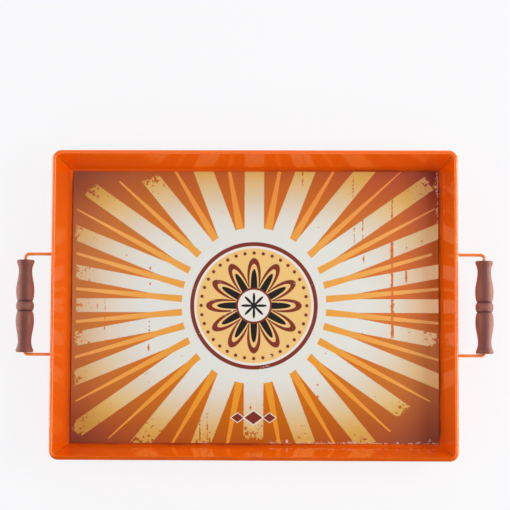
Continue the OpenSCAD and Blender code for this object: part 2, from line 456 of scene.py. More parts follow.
def make_piece(name, points_mm, faces, materials, body, node):
    mesh = bpy.data.meshes.new(name)
    mesh.from_pydata([Vector(point) * MM for point in points_mm], [], faces)
    face_outward(mesh)
    for material in materials:
        mesh.materials.append(material)
    piece = bpy.data.objects.new(name, mesh)
    scene.collection.objects.link(piece)
    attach(piece, body)
    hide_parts(node)
    print(name, len(points_mm), "points,", len(faces), "faces")
    return piece


def smooth(piece, crease_deg):
    """Round shading, broken at edges sharper than the crease, with flat faces kept flat."""
    piece.data.polygons.foreach_set("use_smooth", [True] * len(piece.data.polygons))
    piece.data.set_sharp_from_angle(angle=math.radians(crease_deg))
    normals = piece.modifiers.new("even_normals", "WEIGHTED_NORMAL")
    normals.keep_sharp = True


print("pieces can be made")

# %% [markdown]
# Three things come back in most of the pieces: strips of faces between rings, a cap that closes a
# ring, and arcs. Blender's own circle and grid tools could make them, but not with points that are
# numbered in a known order, which the finishes of single faces need.

# %% Rings, strips and arcs
def strips(rings, stations):
    """Faces between closed rings of points that follow one another."""
    return [
        (k * stations + i, k * stations + (i + 1) % stations,
         (k + 1) * stations + (i + 1) % stations, (k + 1) * stations + i)
        for k in range(rings - 1) for i in range(stations)
    ]


def cap(ring, stations):
    """One face that closes a ring of points."""
    return tuple(range(ring * stations, (ring + 1) * stations))


def polar(angle_deg):
    return Vector((math.cos(math.radians(angle_deg)), math.sin(math.radians(angle_deg))))


def arc(middle, radius, start, end, steps):
    return [middle + radius * polar(start + (end - start) * k / steps) for k in range(steps + 1)]


CORNERS = ((1, 1), (-1, 1), (-1, -1), (1, -1))
ENDS = (("right", 1), ("left", -1))
print("rings, strips and arcs ready")

# %% [markdown]
# ## Tray pan
# The pan is one pressed sheet: floor, bend, flared wall and a rim that is rolled outward. A box with
# a Solidify and a Bevel modifier comes near it, but not to the open roll. So the section through the
# wall is drawn once, as arcs joined by straight runs: up the inside, round the roll and back down.

# %% Section of the wall
SHEET = 0.7
WALL_FLARE = 13.0
FLOOR_BEND = 1.5
CURL = 2.0
CURL_OPENING = 68.0
RIM_CORNER = 9.0
BEND_STEPS, CURL_STEPS = 8, 32

axis_x, axis_y = rim_x - RIM_CORNER, rim_y - RIM_CORNER
curl_middle = Vector((RIM_CORNER - CURL, rim_top - CURL))
bend_z = SHEET + FLOOR_BEND
flare = math.radians(WALL_FLARE)
wall_run = FLOOR_BEND + CURL + (curl_middle.y - bend_z) * math.sin(flare)
bend_middle = Vector((curl_middle.x - wall_run / math.cos(flare), bend_z))
curl_start = 180 - WALL_FLARE
curl_end = curl_start + CURL_OPENING - 360
section = (
    arc(bend_middle, FLOOR_BEND, -90, -WALL_FLARE, BEND_STEPS)
    + arc(curl_middle, CURL, curl_start, curl_end, CURL_STEPS)
    + arc(curl_middle, CURL - SHEET, curl_end, curl_start, CURL_STEPS)
    + arc(bend_middle, FLOOR_BEND + SHEET, -WALL_FLARE, -90, BEND_STEPS)
)
print("wall section", len(section), "points, floor flat to", axis_x + bend_middle.x)

# %% [markdown]
# The section is then carried round the tray. At the corners the wall's foot is a sharp fold and the
# rim a round bend. Outside the corner's axis a point turns in an arc about it, and inside it in a
# tight crease on the diagonal, so one formula makes both and the wall between them.

# %% Tray pan
CREASE = 0.3
CORNER_STEPS = 16
INSIDE_STRIPS = BEND_STEPS + 1
PAN_CREASE_DEG = 35


def corner_ring(point):
    """One point of the section, carried round the four corners."""
    inset = min(point.x - CREASE, 0)
    radius = max(point.x, CREASE)
    ring = []
    for corner, (side_x, side_y) in enumerate(CORNERS):
        for step in range(CORNER_STEPS + 1):
            turn = radius * polar(90 * (corner + step / CORNER_STEPS))
            ring.append((side_x * (axis_x + inset) + turn.x, side_y * (axis_y + inset) + turn.y, point.y))
    return ring


stations = len(CORNERS) * (CORNER_STEPS + 1)
pan_points = [place for point in section for place in corner_ring(point)]
pan_faces = strips(len(section), stations)
floor_top = len(pan_faces)
pan_faces += [cap(0, stations), cap(len(section) - 1, stations)]
pan = make_piece("pan_shell", pan_points, pan_faces, [lacquer, inside], "tray", "tray_pan")
for face in pan.data.polygons:
    is_inside = face.index < INSIDE_STRIPS * stations or face.index == floor_top
    face.material_index = 1 if is_inside else 0
smooth(pan, PAN_CREASE_DEG)

# %% [markdown]
# ## Printed panel
# The print is a sunburst. Broad cream rays of one width run out from a pale middle, the wedges between
# them show the brown ground, and a bright stripe that narrows outward runs down each wedge. A picture
# would be the quick way to put it there, but a formula stays sharp at any size. It works in a space
# that is squeezed sideways, in which the rays spread evenly, with two distances: how far out a point
# lies, and how far to the side of its spoke.

# %% Places on the print
ART_MIDDLE = (-1.0, 1.0)
STRETCH = 1.419
RAYS = 24
SPACING = 2 * math.pi / RAYS

printed, shader, place = start_finish("sunburst_print", specular_ior_level=0.2)
x, y, _ = axes(place)
x, y = x - ART_MIDDLE[0], y - ART_MIDDLE[1]
u = x / STRETCH
reach = (u * u + y * y).math("SQRT")
turn = y.math("ARCTAN2", u) / SPACING


def across_spoke(offset):
    """Distance from the middle line of the nearest spoke, and the spoke's number."""
    number = (turn - offset).math("ROUND")
    angle = (turn - offset - number) * SPACING
    return abs(reach * angle.math("SINE")), number


ray_across, ray_number = across_spoke(0.0)
stripe_across, stripe_number = across_spoke(0.5)
print("sunburst of", RAYS, "rays")

# %% [markdown]
# Old prints wear. Some spokes stop short of the border, each at its own distance, and near an end the
# print breaks up into holes. A hand-painted mask could say where. One distance does it with less work:
# how far a point lies past its spoke's end, negative while still inside it. Where that is positive the
# spoke is gone, and just before that the holes grow.

# %% Ends of the spokes
FULL_REACH = 230.0
# The number of a spoke, counted from the right end, and the distance at which it stops.
SHORT_RAYS = {9: 166.0, 8: 148.0, -3: 149.0, 3: 176.0, -6: 132.0, -9: 178.0, -1: 132.0}
SHORT_STRIPES = {8: 158.0, -4: 158.0, -3: 156.0, -9: 168.0, -10: 158.0, 1: 136.0, 2: 161.5}
ART_LEFT, ART_FRONT = -179.0, -138.0
WORN_BLUR = 0.35
END_TEAR, END_FRAY = 14.0, 4.0
PIT_LIMIT, PIT_GROWTH, PIT_PATCHY, PIT_BLUR = 0.34, 0.007, 0.2, 0.02

torn = noise(place, 3.6, 3.0, 0.7) - 0.5
fine = noise(place, 1.2, 2.0, 0.6) - 0.5
patch = noise(place, 40.0, 1.0)
pitted = noise(place, 3.8, 2.5, 0.6)


def past_end(number, short):
    """Distance past the spoke's own end or past the edge of the artwork, whichever comes first."""
    losses = [below(abs(number - spoke), 0.5, 0.1) * (FULL_REACH - end) for spoke, end in short.items()]
    lost = sum(losses[1:], losses[0])
    return (reach + lost - FULL_REACH) | (-x + ART_LEFT) | (-y + ART_FRONT)


def still_printed(past):
    """1 where the print is left, with a ragged end and holes just before it."""
    holes = below(pitted, past * PIT_GROWTH + patch * PIT_PATCHY + PIT_LIMIT, PIT_BLUR)
    return below(past + torn * END_TEAR + fine * END_FRAY, 0.0, WORN_BLUR).without(holes)


print("short rays:", len(SHORT_RAYS), "short stripes:", len(SHORT_STRIPES))

# %% [markdown]
# Thin upright cracks cross the print as well, where a sheet has been flexed. Real grooves in the mesh
# would be too fine to see, so they are drawn: a line of uneven width, broken into dashes by noise
# along its length. Where little of a crack is left, it has become a nick. A few flecks of ground show
# through everywhere.

# %% Cracks, nicks and flecks
# A crack's place from side to side, its two ends, half its width and its share of gaps.
CRACKS = (
    (138.5, -32.0, 66.0, 1.4, 0.28), (138.5, 86.0, 112.0, 0.8, 0.38), (152.5, 24.0, 36.0, 1.0, 0.30),
    (109.0, 66.0, 90.0, 0.7, 0.40), (100.5, 64.0, 84.0, 0.6, 0.42), (99.5, 110.0, 130.0, 0.5, 0.42),
    (-149.5, -27.0, 9.0, 0.6, 0.45), (-157.5, -2.0, 11.0, 0.6, 0.42), (-53.5, -135.0, -114.0, 0.7, 0.40),
    (-46.0, -135.0, -108.0, 0.6, 0.41), (48.5, 122.0, 138.0, 0.6, 0.40), (110.0, 44.0, 50.0, 0.9, 0.30),
)
# A nick's place and half its size each way.
NICKS = (
    (-104.5, 37.5, 1.1, 2.2), (-104.5, 21.7, 1.1, 1.8), (-105.0, -16.5, 0.8, 1.0), (-105.0, -21.0, 0.8, 1.0),
    (-105.0, -25.2, 0.9, 1.6), (-105.5, -42.5, 1.2, 4.4), (64.0, -79.0, 1.1, 1.4), (64.0, -91.0, 1.4, 2.0),
    (153.0, 58.7, 0.9, 1.4), (138.0, -9.0, 1.6, 2.0), (-3.0, -102.0, 1.2, 2.2),
)
CRACK_BLUR = 0.2
CRACK_TEAR, CRACK_FRAY, NICK_FRAY = 2.4, 1.6, 1.2
DASH_X, DASH_Y, DASH_CUT = 0.08, 0.3, 8.0
WIDTH_SPAN, WIDTH_LOSS = 2.2, 0.1
TIP, TIP_SHARE = 3.0, 0.7


def crack(at, low, high, half_width, gaps):
    """A thin upright line of uneven width, broken where noise along it is under the share of gaps."""
    middle_y, half_y = (low + high) / 2, (high - low) / 2
    dashes = noise(stretched(place, DASH_X, DASH_Y), 1.0, 2.0, 0.6) - gaps
    width = (dashes * DASH_CUT & 1.0) * (pitted * WIDTH_SPAN - WIDTH_LOSS) * half_width
    near = below(abs(x - at + torn * CRACK_TEAR + fine * CRACK_FRAY), width, CRACK_BLUR)
    return near & below(abs(y - middle_y), half_y, min(TIP, half_y * TIP_SHARE))


def nick(at_x, at_y, half_x, half_y):
    """A small spot, longer than wide, with torn edges."""
    return below(abs(x - at_x) / half_x + abs(y - at_y) / half_y + fine * NICK_FRAY, 1.0, CRACK_BLUR)


cracks = any_of([crack(*sizes) for sizes in CRACKS] + [nick(*sizes) for sizes in NICKS])
flecks = place_group(flecks_group, place, Size=5.0, Share=0.12)
print("cracks:", len(CRACKS), "nicks:", len(NICKS))

# %% [markdown]
# Each printed shape is a mask, as each ink on a press has its own plate. The shapes could be mixed one
# by one with their wear, but masks kept apart are easier to change: a ray is a strip of one width that
# is joined to the pale middle, and a stripe's width falls with the distance.

# %% Rays and stripes
EDGE_BLUR = 0.25
RAY_HALF, RAY_FRAY = 6.9, 0.5
STRIPE_END, STRIPE_TAPER = 180.0, 0.0265
STRIPE_FRAY, STRIPE_TEAR, STRIPE_CRACKED = 0.6, 4.0, 0.8
PALE_X, PALE_Y, PALE_BLUR = 72.5, 78.5, 0.004

pale = below((x * x / PALE_X ** 2 + y * y / PALE_Y ** 2).math("SQRT"), 1.0, PALE_BLUR)
uneven = fine * RAY_FRAY
ray = below(ray_across + uneven, RAY_HALF, EDGE_BLUR) & still_printed(past_end(ray_number, SHORT_RAYS))
ray = (ray | pale).without(cracks).without(flecks)
stripe_half = (-reach + STRIPE_END) * STRIPE_TAPER
stripe = below(stripe_across + uneven * STRIPE_FRAY, stripe_half, EDGE_BLUR)
stripe = stripe & below(past_end(stripe_number, SHORT_STRIPES) + torn * STRIPE_TEAR, 0.0, WORN_BLUR)
stripe = stripe.without(pale).without(cracks * STRIPE_CRACKED)
print("rays", 2 * RAY_HALF, "mm wide")

# %% [markdown]
# Light has faded the print towards its left and right ends, and a little at the rear. That could be
# painted by hand. Masks on the place do it here, each a limit with a wide blur: where to fade, by how
# much, and with which tint, rosier at the rear. At the right end the ground is painted lighter, warmer
# at the rear, as painted light against the right wall's shadow. Just short of the edge that is held
# back, and the darker ground there is painted shade of the wall.

# %% Fading
FADED, ROSY, WARM_LIGHT_TINT = srgb(255, 232, 173), srgb(255, 149, 173), srgb(255, 149, 118)
FADE_ENDS, FADE_X = 0.09, 160.0
FADE_REAR, FADE_Y = 0.036, 120.0
CORNERS_KEPT = 0.6
RIGHT_END_X, RIGHT_END_BLUR = 110.0, 40.0
REAR_PART_Y, REAR_PART_BLUR = -30.0, 30.0
FRONT_PART_Y, FRONT_PART_BLUR = -80.0, 40.0
ROSY_X, ROSY_X_BLUR = -80.0, 50.0
ROSY_Y, ROSY_Y_BLUR = 85.0, 25.0
RIGHT_LIGHT_GAIN, FRONT_RIGHT_LIGHT_GAIN = 0.85, 0.018
SHADED, SHADED_X, SHADED_BLUR = 0.75, 175.5, 5.0

to_ends = x * x * (FADE_ENDS / FADE_X ** 2)
to_corners = (y * y / FADE_Y ** 2 & 1.0) * CORNERS_KEPT
to_rear = (y / FADE_Y + 0.5 | 0.0) & 1.0
fade = to_ends.without(to_corners) + to_rear * FADE_REAR
right_end = above(x, RIGHT_END_X, RIGHT_END_BLUR)
rear_part = above(y, REAR_PART_Y, REAR_PART_BLUR)
front_part = below(y, FRONT_PART_Y, FRONT_PART_BLUR)
# Painted light: at the right end the ground is faded further, warmer at the rear, against the right wall's
# shadow.
lit_right_rear = right_end & rear_part
ground_fade_and_light = fade * (lit_right_rear * RIGHT_LIGHT_GAIN + 1.0) + (right_end & front_part) * FRONT_RIGHT_LIGHT_GAIN
# Painted shade: just short of the right edge, at the rear, the extra fade is held back, so the ground is
# darker.
ground_fade_and_light = ground_fade_and_light.without((above(x, SHADED_X, SHADED_BLUR) & rear_part) * SHADED)
tint = mix(above(y, ROSY_Y, ROSY_Y_BLUR) & above(x, ROSY_X, ROSY_X_BLUR), FADED, ROSY)
print("fading at the ends and the rear")

# %% [markdown]
# The colours darken with distance from the middle, and a colour ramp on that distance is the usual way.
# The cream rays need a shape between a circle and a rectangle, whose distance is a sum of powers. Where
# the print is faded the tint is laid over the ground and the stripes, and the cream darkens later. At
# the right end the cream is paler: painted light against the right wall's shadow.

# %% Colours of the print
RAMP_REACH = 200.0
SQUARENESS = 2.55
CREAM_DELAY = 100.0
STRIPE_GAIN = 2.4
CREAM_LIGHT, CREAM_LIGHT_X, CREAM_LIGHT_BLUR = srgb(255, 227, 180), 160.0, 12.0
CREAM_LIGHT_SHARE, CREAM_LIGHT_LOSS, CREAM_LIGHT_Y = 0.72, 0.42, 80.0

far = reach / RAMP_REACH
powers = abs(u).math("POWER", SQUARENESS) + abs(y).math("POWER", SQUARENESS)
squarish = powers.math("POWER", 1 / SQUARENESS)
ground_colour = ramp(far, [
    (0.42, srgb(210, 110, 4)), (0.52, srgb(202, 106, 4)), (0.60, srgb(193, 103, 8)),
    (0.68, srgb(183, 93, 12)), (0.775, srgb(168, 78, 24)), (0.83, srgb(152, 66, 28)),
    (0.93, srgb(118, 48, 36)),
])
cream_colour = ramp((squarish - fade * CREAM_DELAY) / RAMP_REACH, [
    (0.36, srgb(225, 229, 222)), (0.43, srgb(224, 223, 212)), (0.51, srgb(221, 210, 182)),
    (0.59, srgb(222, 198, 142)), (0.66, srgb(217, 180, 97)), (0.75, srgb(204, 162, 76)),
])
stripe_colour = ramp(far, [(0.38, srgb(233, 155, 44)), (0.76, srgb(231, 153, 44))])
ground_colour = mix(ground_fade_and_light, ground_colour, mix(lit_right_rear, tint, WARM_LIGHT_TINT))
stripe_colour = mix(fade * STRIPE_GAIN, stripe_colour, tint)
# Painted light: the cream at the right end is paler, against the right wall's shadow.
painted_cream_light = above(x, CREAM_LIGHT_X, CREAM_LIGHT_BLUR) * (-(abs(y) / CREAM_LIGHT_Y & 1.0) * CREAM_LIGHT_LOSS + CREAM_LIGHT_SHARE)
cream_colour = mix(painted_cream_light, cream_colour, CREAM_LIGHT)
print_colour = mix(stripe, mix(ray, ground_colour, cream_colour), stripe_colour)
print("colours of ground, rays and stripes")

# %% [markdown]
# In the middle sits a round rosette of the kind that decorates plates and tiles: a rim, a ring of
# beads, twelve petals and a small star. It could be built from curves that are filled and laid on the
# panel. As masks it lies in the print itself and needs no gap: each petal is a wave on the angle, and
# the layers are laid one over another.

# %% Rosette
ROSETTE, RIM_INSIDE, FIELD = 64.0, 60.0, 57.5
HUB, HUB_FIELD = 18.0, 16.0
PETALS, STAR_RAYS, PETAL_BLUR = 12, 8, 0.4
BEADS, BEAD_RING, BEAD = 36, 53.0, 1.7
BEAD_SPACING = 2 * math.pi / BEADS
INK_BROWN = srgb(128, 52, 40)
INK_BLACK = srgb(34, 30, 30)
INK_TAN = srgb(238, 198, 126)
INK_CREAM = srgb(233, 230, 222)

away = (x * x + y * y).math("SQRT")
bearing = y.math("ARCTAN2", x)


def disc(radius):
    return below(away, radius, EDGE_BLUR)


def petals(count, root, tip, slimness):
    wave = abs((bearing * (count / 2)).math("COSINE")).math("POWER", slimness)
    return below(away, wave * (tip - root) + root, PETAL_BLUR)


def beads():
    """Dots on a ring: each point is measured from the nearest dot, along the ring and across it."""
    count = bearing / BEAD_SPACING
    along = (count - count.math("ROUND")) * BEAD_SPACING * away
    out = away - BEAD_RING
    return below((along * along + out * out).math("SQRT"), BEAD, EDGE_BLUR)


layers = (
    (disc(ROSETTE), INK_BROWN),
    (disc(RIM_INSIDE), INK_CREAM),
    (disc(FIELD), INK_TAN),
    (beads(), INK_BROWN),
    (petals(PETALS, 20.0, 48.0, 0.7), INK_BROWN),
    (petals(PETALS, 17.0, 42.0, 1.4), INK_TAN),
    (petals(PETALS, 16.0, 37.0, 2.6), INK_BLACK),
    (disc(HUB), INK_BROWN),
    (disc(HUB_FIELD), INK_CREAM),
    (petals(STAR_RAYS, 3.0, 13.0, 3.0), INK_BLACK),
)
for mask, ink in layers:
    print_colour = mix(mask, print_colour, ink)
print("rosette of", PETALS, "petals and", BEADS, "beads")

# %% [markdown]
# Three lozenges stand below the rosette, each a limit on the sum of two distances. Scuffs cross the
# rosette, and pale specks lie along the two edges that knocks have reached. The varnish is a satin
# roughness with a faint ripple: a mirror-like one would wash the colours out.

# %% Lozenges, scuffs and varnish
LOZENGE_Y = -112.0
# A lozenge's place from side to side and half its size each way.
LOZENGES = ((-16.0, 6.0, 4.5), (0.0, 9.0, 6.5), (16.0, 6.0, 4.5))
LOZENGE_BORDER, LOZENGE_BLUR = 1.22, 0.03
KNOCK_PATCH, KNOCK_BLUR = 9.0, 0.8
FRONT_SPECKS_X, FRONT_SPECKS_BLUR, FRONT_SPECKS_SPAN = 20.0, 10.0, 16.0
RIGHT_SPECKS_Y, RIGHT_SPECKS_BLUR, RIGHT_SPECKS_SPAN = 84.0, 6.0, 12.0
VARNISH_PATCH, VARNISH_SATIN, VARNISH_SPAN = 12.0, 0.32, 0.1
VARNISH_WAVE, VARNISH_GRIT, VARNISH_DEPTH = 60.0, 0.5, 0.03

for at, half_x, half_y in LOZENGES:
    diamond = abs(x - at) / half_x + abs(y - LOZENGE_Y) / half_y
    print_colour = mix(below(diamond, LOZENGE_BORDER, LOZENGE_BLUR), print_colour, INK_CREAM)
    print_colour = mix(below(diamond, 1.0, LOZENGE_BLUR), print_colour, INK_BROWN)
scuffs = place_group(flecks_group, stretched(place, 0.5, 1.6), Size=4.0, Share=0.16)
print_colour = mix(scuffs & below(away, ROSETTE, 1.0), print_colour, INK_CREAM)
specks = place_group(flecks_group, place, Size=1.7, Share=0.46)
ragged = noise(place, KNOCK_PATCH, 1.0) - 0.5
at_front = below(y, ragged * FRONT_SPECKS_SPAN - panel_high.y, KNOCK_BLUR)
at_front = at_front & above(x, FRONT_SPECKS_X, FRONT_SPECKS_BLUR)
at_right = above(x, -ragged * RIGHT_SPECKS_SPAN + panel_high.x, KNOCK_BLUR)
at_right = at_right & above(y, RIGHT_SPECKS_Y, RIGHT_SPECKS_BLUR)
print_colour = mix(specks & (at_front | at_right), print_colour, INK_CREAM)
feed(shader.inputs["Base Color"], print_colour)
feed(shader.inputs["Roughness"], noise(place, VARNISH_PATCH) * VARNISH_SPAN + VARNISH_SATIN)
add_bump(shader, place_group(ripple_group, place, Wave=VARNISH_WAVE, Grit=VARNISH_GRIT), VARNISH_DEPTH)
print("lozenges:", len(LOZENGES))

# %% [markdown]
# Where an edge is chipped, the panel's pale core shows. It gets a matte finish with short fibres, from
# the same streaks as the wood, because a plain white would look like paint.

# %% Core of the panel
CORE_DULL, CORE_PALE = srgb(196, 178, 164), srgb(240, 232, 222)
FIBRE_WIDTH = 0.5

core, shader, place = start_finish("panel_core", roughness=0.7)
fibres = place_group(streaks_group, place, Width=FIBRE_WIDTH)
feed(shader.inputs["Base Color"], mix(fibres, CORE_DULL, CORE_PALE))

# %% [markdown]
# The panel is a thin sheet with a fine rounded edge, chipped along its front and right edges. Chips
# could be cut with Booleans, which leaves untidy faces. Here the outline is walked in small steps, and
# each step is given a depth of chip by chance, which later draws the top edge in.

# %% Panel outline with chips
PANEL_CORNER, PANEL_CORNER_STEPS = 1.5, 6
EDGE_STEP = 0.7
KNOCKS, KNOCK_SEED = 330, 5
FACES_SIDE = 0.5
FRONT_KNOCKED_X, FRONT_CHANCE, FRONT_RARE = 16.0, 0.85, 0.02
RIGHT_KNOCKED_Y, RIGHT_CHANCE, RIGHT_RARE = 86.0, 0.6, 0.05
CHIP_STEPS, CHIP_DEPTHS, CHIP_UNEVEN = 3, (0.3, 1.3), (0.3, 1.0)
inset_x, inset_y = panel_high.x - PANEL_CORNER, panel_high.y - PANEL_CORNER


def panel_outline():
    """Points round the panel with the direction that points outward there."""
    points = []
    spans = (2 * inset_x, 2 * inset_y)
    for corner, (side_x, side_y) in enumerate(CORNERS):
        middle = Vector((side_x * inset_x, side_y * inset_y))
        for step in range(PANEL_CORNER_STEPS + 1):
            out = polar(90 * (corner + step / PANEL_CORNER_STEPS))
            points.append((middle + PANEL_CORNER * out, out))
        span = spans[corner % 2]
        along = polar(90 * corner + 180)
        count = int(span / EDGE_STEP)
        for k in range(1, count):
            points.append((middle + PANEL_CORNER * out + along * (span * k / count), out))
    return points


def chance_of_chip(point, out):
    if out.y < -FACES_SIDE:
        return FRONT_CHANCE if point.x > FRONT_KNOCKED_X else FRONT_RARE
    if out.x > FACES_SIDE:
        return RIGHT_CHANCE if point.y > RIGHT_KNOCKED_Y else RIGHT_RARE
    return 0.0


outline = panel_outline()
draw = random.Random(KNOCK_SEED)
chips = [0.0] * len(outline)
for _ in range(KNOCKS):
    at = draw.randrange(len(outline))
    length = draw.randint(0, CHIP_STEPS)
    depth = draw.uniform(*CHIP_DEPTHS)
    if draw.random() < chance_of_chip(*outline[at]):
        for k in range(at - length, at + length + 1):
            k %= len(outline)
            chips[k] = max(chips[k], depth * draw.uniform(*CHIP_UNEVEN))
print("outline points", len(outline), "chipped", sum(depth > 0 for depth in chips))

# %% [markdown]
# Four rings of points make the sheet: its top edge, drawn in by the chips, a shoulder below it, the
# side and the underside. Faces beside a chip get the core's finish, so that what is broken is pale.

# %% Panel
EDGE_ROUND = 0.12
CHIP_SIDE, CHIP_DROP = 0.25, 0.4
CHIPPED = 0.15

count = len(outline)
top_edge, shoulder, side, underside = [], [], [], []
for (point, out), chip in zip(outline, chips):
    drawn_in = point - out * (EDGE_ROUND + chip)
    broken = point - out * (chip * CHIP_SIDE)
    low = point - out * EDGE_ROUND
    top_edge.append((drawn_in.x, drawn_in.y, panel_high.z))
    shoulder.append((broken.x, broken.y, panel_high.z - EDGE_ROUND - chip * CHIP_DROP))
    side.append((point.x, point.y, panel_low.z + EDGE_ROUND))
    underside.append((low.x, low.y, panel_low.z))
panel_points = top_edge + shoulder + side + underside
panel_faces = strips(4, count) + [cap(0, count), cap(3, count)]
panel = make_piece("print_sheet", panel_points, panel_faces, [printed, core], "tray",
                   "printed_panel")
for face in panel.data.polygons:
    is_edge = len(face.vertices) == 4
    deepest = max(chips[corner % count] for corner in face.vertices)
    face.material_index = 1 if is_edge and deepest > CHIPPED else 0

# %% [markdown]
# ## Handles
# Each handle is one length of round wire: two pins turned in towards each other, two legs and the
# bar that carries the grip. A curve with a round bevel would do. A path of straight runs and quarter
# bends gives the same, and its bends have the radii that a bending tool leaves.

# %% Path of the wire
GRIP_BEND = 3.5
PIN_BEND = 3.0
PIN_PROUD = 1.5
WIRE_BEND_STEPS = 10


def half_path():
    """From the rear pin's end to the middle of the bar, in the plane of the handle."""
    pin_middle = Vector((hinge_x + PIN_BEND, leg_y - PIN_BEND))
    bar_middle = Vector((grip_x - GRIP_BEND, leg_y - GRIP_BEND))
    pin_end = Vector((hinge_x, lug_low.y - PIN_PROUD))
    pin_turn = arc(pin_middle, PIN_BEND, 180, 90, WIRE_BEND_STEPS)
    bar_turn = arc(bar_middle, GRIP_BEND, 90, 0, WIRE_BEND_STEPS)
    return [pin_end] + pin_turn + bar_turn


rear = half_path()
wire_path = rear + [Vector((point.x, -point.y)) for point in reversed(rear)]
print("wire path", len(wire_path), "points")

# %% [markdown]
# A ring of points stands across the path at each of its points. The first and the last ring are drawn
# in, as the ends of cut wire are when they have been tumbled, so no raw edge is left. The left handle
# is the right one mirrored.

# %% Wires
WIRE_SIDES = 24
END_ROUND = 0.5
WIRE_CREASE_DEG = 60


def tube(path, radius):
    """Rings of points along a flat path, drawn in at both ends, and the number of rings."""
    last = len(path) - 1
    stops = [(0, 0.0, radius - END_ROUND), (0, END_ROUND, radius)]
    stops += [(k, 0.0, radius) for k in range(1, last)]
    stops += [(last, -END_ROUND, radius), (last, 0.0, radius - END_ROUND)]
    points = []
    for k, shift, ring_radius in stops:
        ahead = (path[min(k + 1, last)] - path[max(k - 1, 0)]).normalized()
        side = Vector((ahead.y, -ahead.x))
        at = path[k] + ahead * shift
        for i in range(WIRE_SIDES):
            turn = polar(360 * i / WIRE_SIDES) * ring_radius
            points.append((at.x + side.x * turn.x, at.y + side.y * turn.x, hinge_z + turn.y))
    return points, len(stops)


for end, sign in ENDS:
    points, rings = tube([Vector((sign * point.x, point.y)) for point in wire_path], wire_radius)
    faces = strips(rings, WIRE_SIDES) + [cap(0, WIRE_SIDES), cap(rings - 1, WIRE_SIDES)]
    wire = make_piece("bail_wire_" + end, points, faces, [wire_rub_and_highlight], "handle_" + end,
                      "handle_wire_" + end)
    smooth(wire, WIRE_CREASE_DEG)

# %% [markdown]
# ## Grips
# A grip is turned on a lathe: a bead in the middle between two grooves, two bellies, two necks and a
# flange at each end. A Screw modifier on a drawn outline would turn it as a lathe does. A formula for
# the radius at each distance from the middle keeps the outline in plain sizes that can be measured on
# a real grip.

# %% Outline of the grip
BEAD_RADIUS, GROOVE, GROOVE_AT = 8.8, 6.8, 4.8
BELLY, BELLY_SETBACK = 9.0, 30.5
NECK, NECK_SETBACK = 6.6, 10.5
FLANGE, FLANGE_SETBACK, FLANGE_ROUND = 8.75, 2.0, 0.8
BORE = 1.8
COUNTERSINK = 1.8
LATHE_STEPS = 70
GROOVE_STEP, END_STEPS = 0.15, (0.3, 0.05)
end_at = (grip_high.y - grip_low.y) / 2
belly_at, neck_at, flange_at = end_at - BELLY_SETBACK, end_at - NECK_SETBACK, end_at - FLANGE_SETBACK
fine_steps = [GROOVE_AT - GROOVE_STEP, GROOVE_AT, GROOVE_AT + GROOVE_STEP]
fine_steps += [end_at - step for step in END_STEPS]


def round_fall(share):
    return math.sqrt(max(0.0, 1 - share * share))


def between(start, end, share):
    return start + (end - start) * share


def grip_radius(at):
    at = abs(at)
    if at <= GROOVE_AT:
        return between(GROOVE, BEAD_RADIUS, round_fall(at / GROOVE_AT))
    if at <= belly_at:
        return between(GROOVE, BELLY, round_fall(1 - (at - GROOVE_AT) / (belly_at - GROOVE_AT)))
    if at <= neck_at:
        return between(BELLY, NECK, (1 - math.cos(math.pi * (at - belly_at) / (neck_at - belly_at))) / 2)
    if at <= flange_at:
        return between(NECK, FLANGE, 1 - math.cos(math.pi / 2 * (at - neck_at) / (flange_at - neck_at)))
    return FLANGE - FLANGE_ROUND * (1 - round_fall((at - flange_at) / (end_at - flange_at)))


half_steps = sorted(set([end_at * k / LATHE_STEPS for k in range(LATHE_STEPS + 1)] + fine_steps))
all_steps = [-step for step in reversed(half_steps)] + half_steps[1:]
lathe = [(BORE + COUNTERSINK, -end_at)] + [(grip_radius(at), at) for at in all_steps]
lathe += [(BORE + COUNTERSINK, end_at), (BORE, end_at - COUNTERSINK), (BORE, COUNTERSINK - end_at)]
print("grip outline", len(lathe), "points")

# %% [markdown]
# The wood is stained red brown. A Wave texture makes rings as in sawn boards, but on a thin turned
# piece the grain runs along it, so streaks that are long in that direction suit it better. Their pores
# catch the light through a shallow bump. The sides are painted paler, the outer one most, as painted
# light from the side lamps. The bead's crown is paler as a painted highlight, and the grooves are darker
# as painted shade.

# %% Stained wood
STAIN_DEEP, STAIN_WARM = srgb(104, 48, 38), srgb(122, 61, 48)
STAIN_PATCH, STAIN_SQUEEZE = 12.0, 0.2
OUTER_SIDE_LIT, INNER_SIDE_LIT, CROWN_HIGHLIGHT = srgb(165, 108, 94), srgb(150, 88, 73), srgb(146, 86, 72)
SIDE, SIDE_BLUR, SIDE_RAGGED = 0.25, 0.35, 0.4
CROWN, CROWN_BLUR, CROWN_PALE = 3.0, 1.8, 0.6
GRAIN_DARK, GRAIN_WIDTH, GRAIN_LIMIT, GRAIN_BLUR, GRAIN_SHARE = srgb(80, 36, 29), 1.1, 0.42, 0.09, 0.5
GROOVE_SHADE, GROOVE_HALF, GROOVE_BLUR, GROOVE_SHARE = srgb(44, 18, 14), 0.7, 0.5, 0.6
PORE_WIDTH, PORE_SHARE, PORE_DEPTH, PORE_STRENGTH = 0.35, 0.5, 0.12, 0.6
WOOD_SATIN, WOOD_SPAN = 0.48, 0.2
SHEEN_TINT = srgb(255, 190, 168)

wood, shader, place = start_finish("turned_wood", sheen_weight=0.24, sheen_roughness=0.4)
shader.inputs["Sheen Tint"].default_value = SHEEN_TINT
x, y, _ = axes(place)
outward = (abs(x) - grip_x) / BELLY
along = abs(y - grip_y)
grain = place_group(streaks_group, place, Width=GRAIN_WIDTH)
pores = place_group(streaks_group, place, Width=PORE_WIDTH)
stain = noise(stretched(place, y=STAIN_SQUEEZE), STAIN_PATCH)
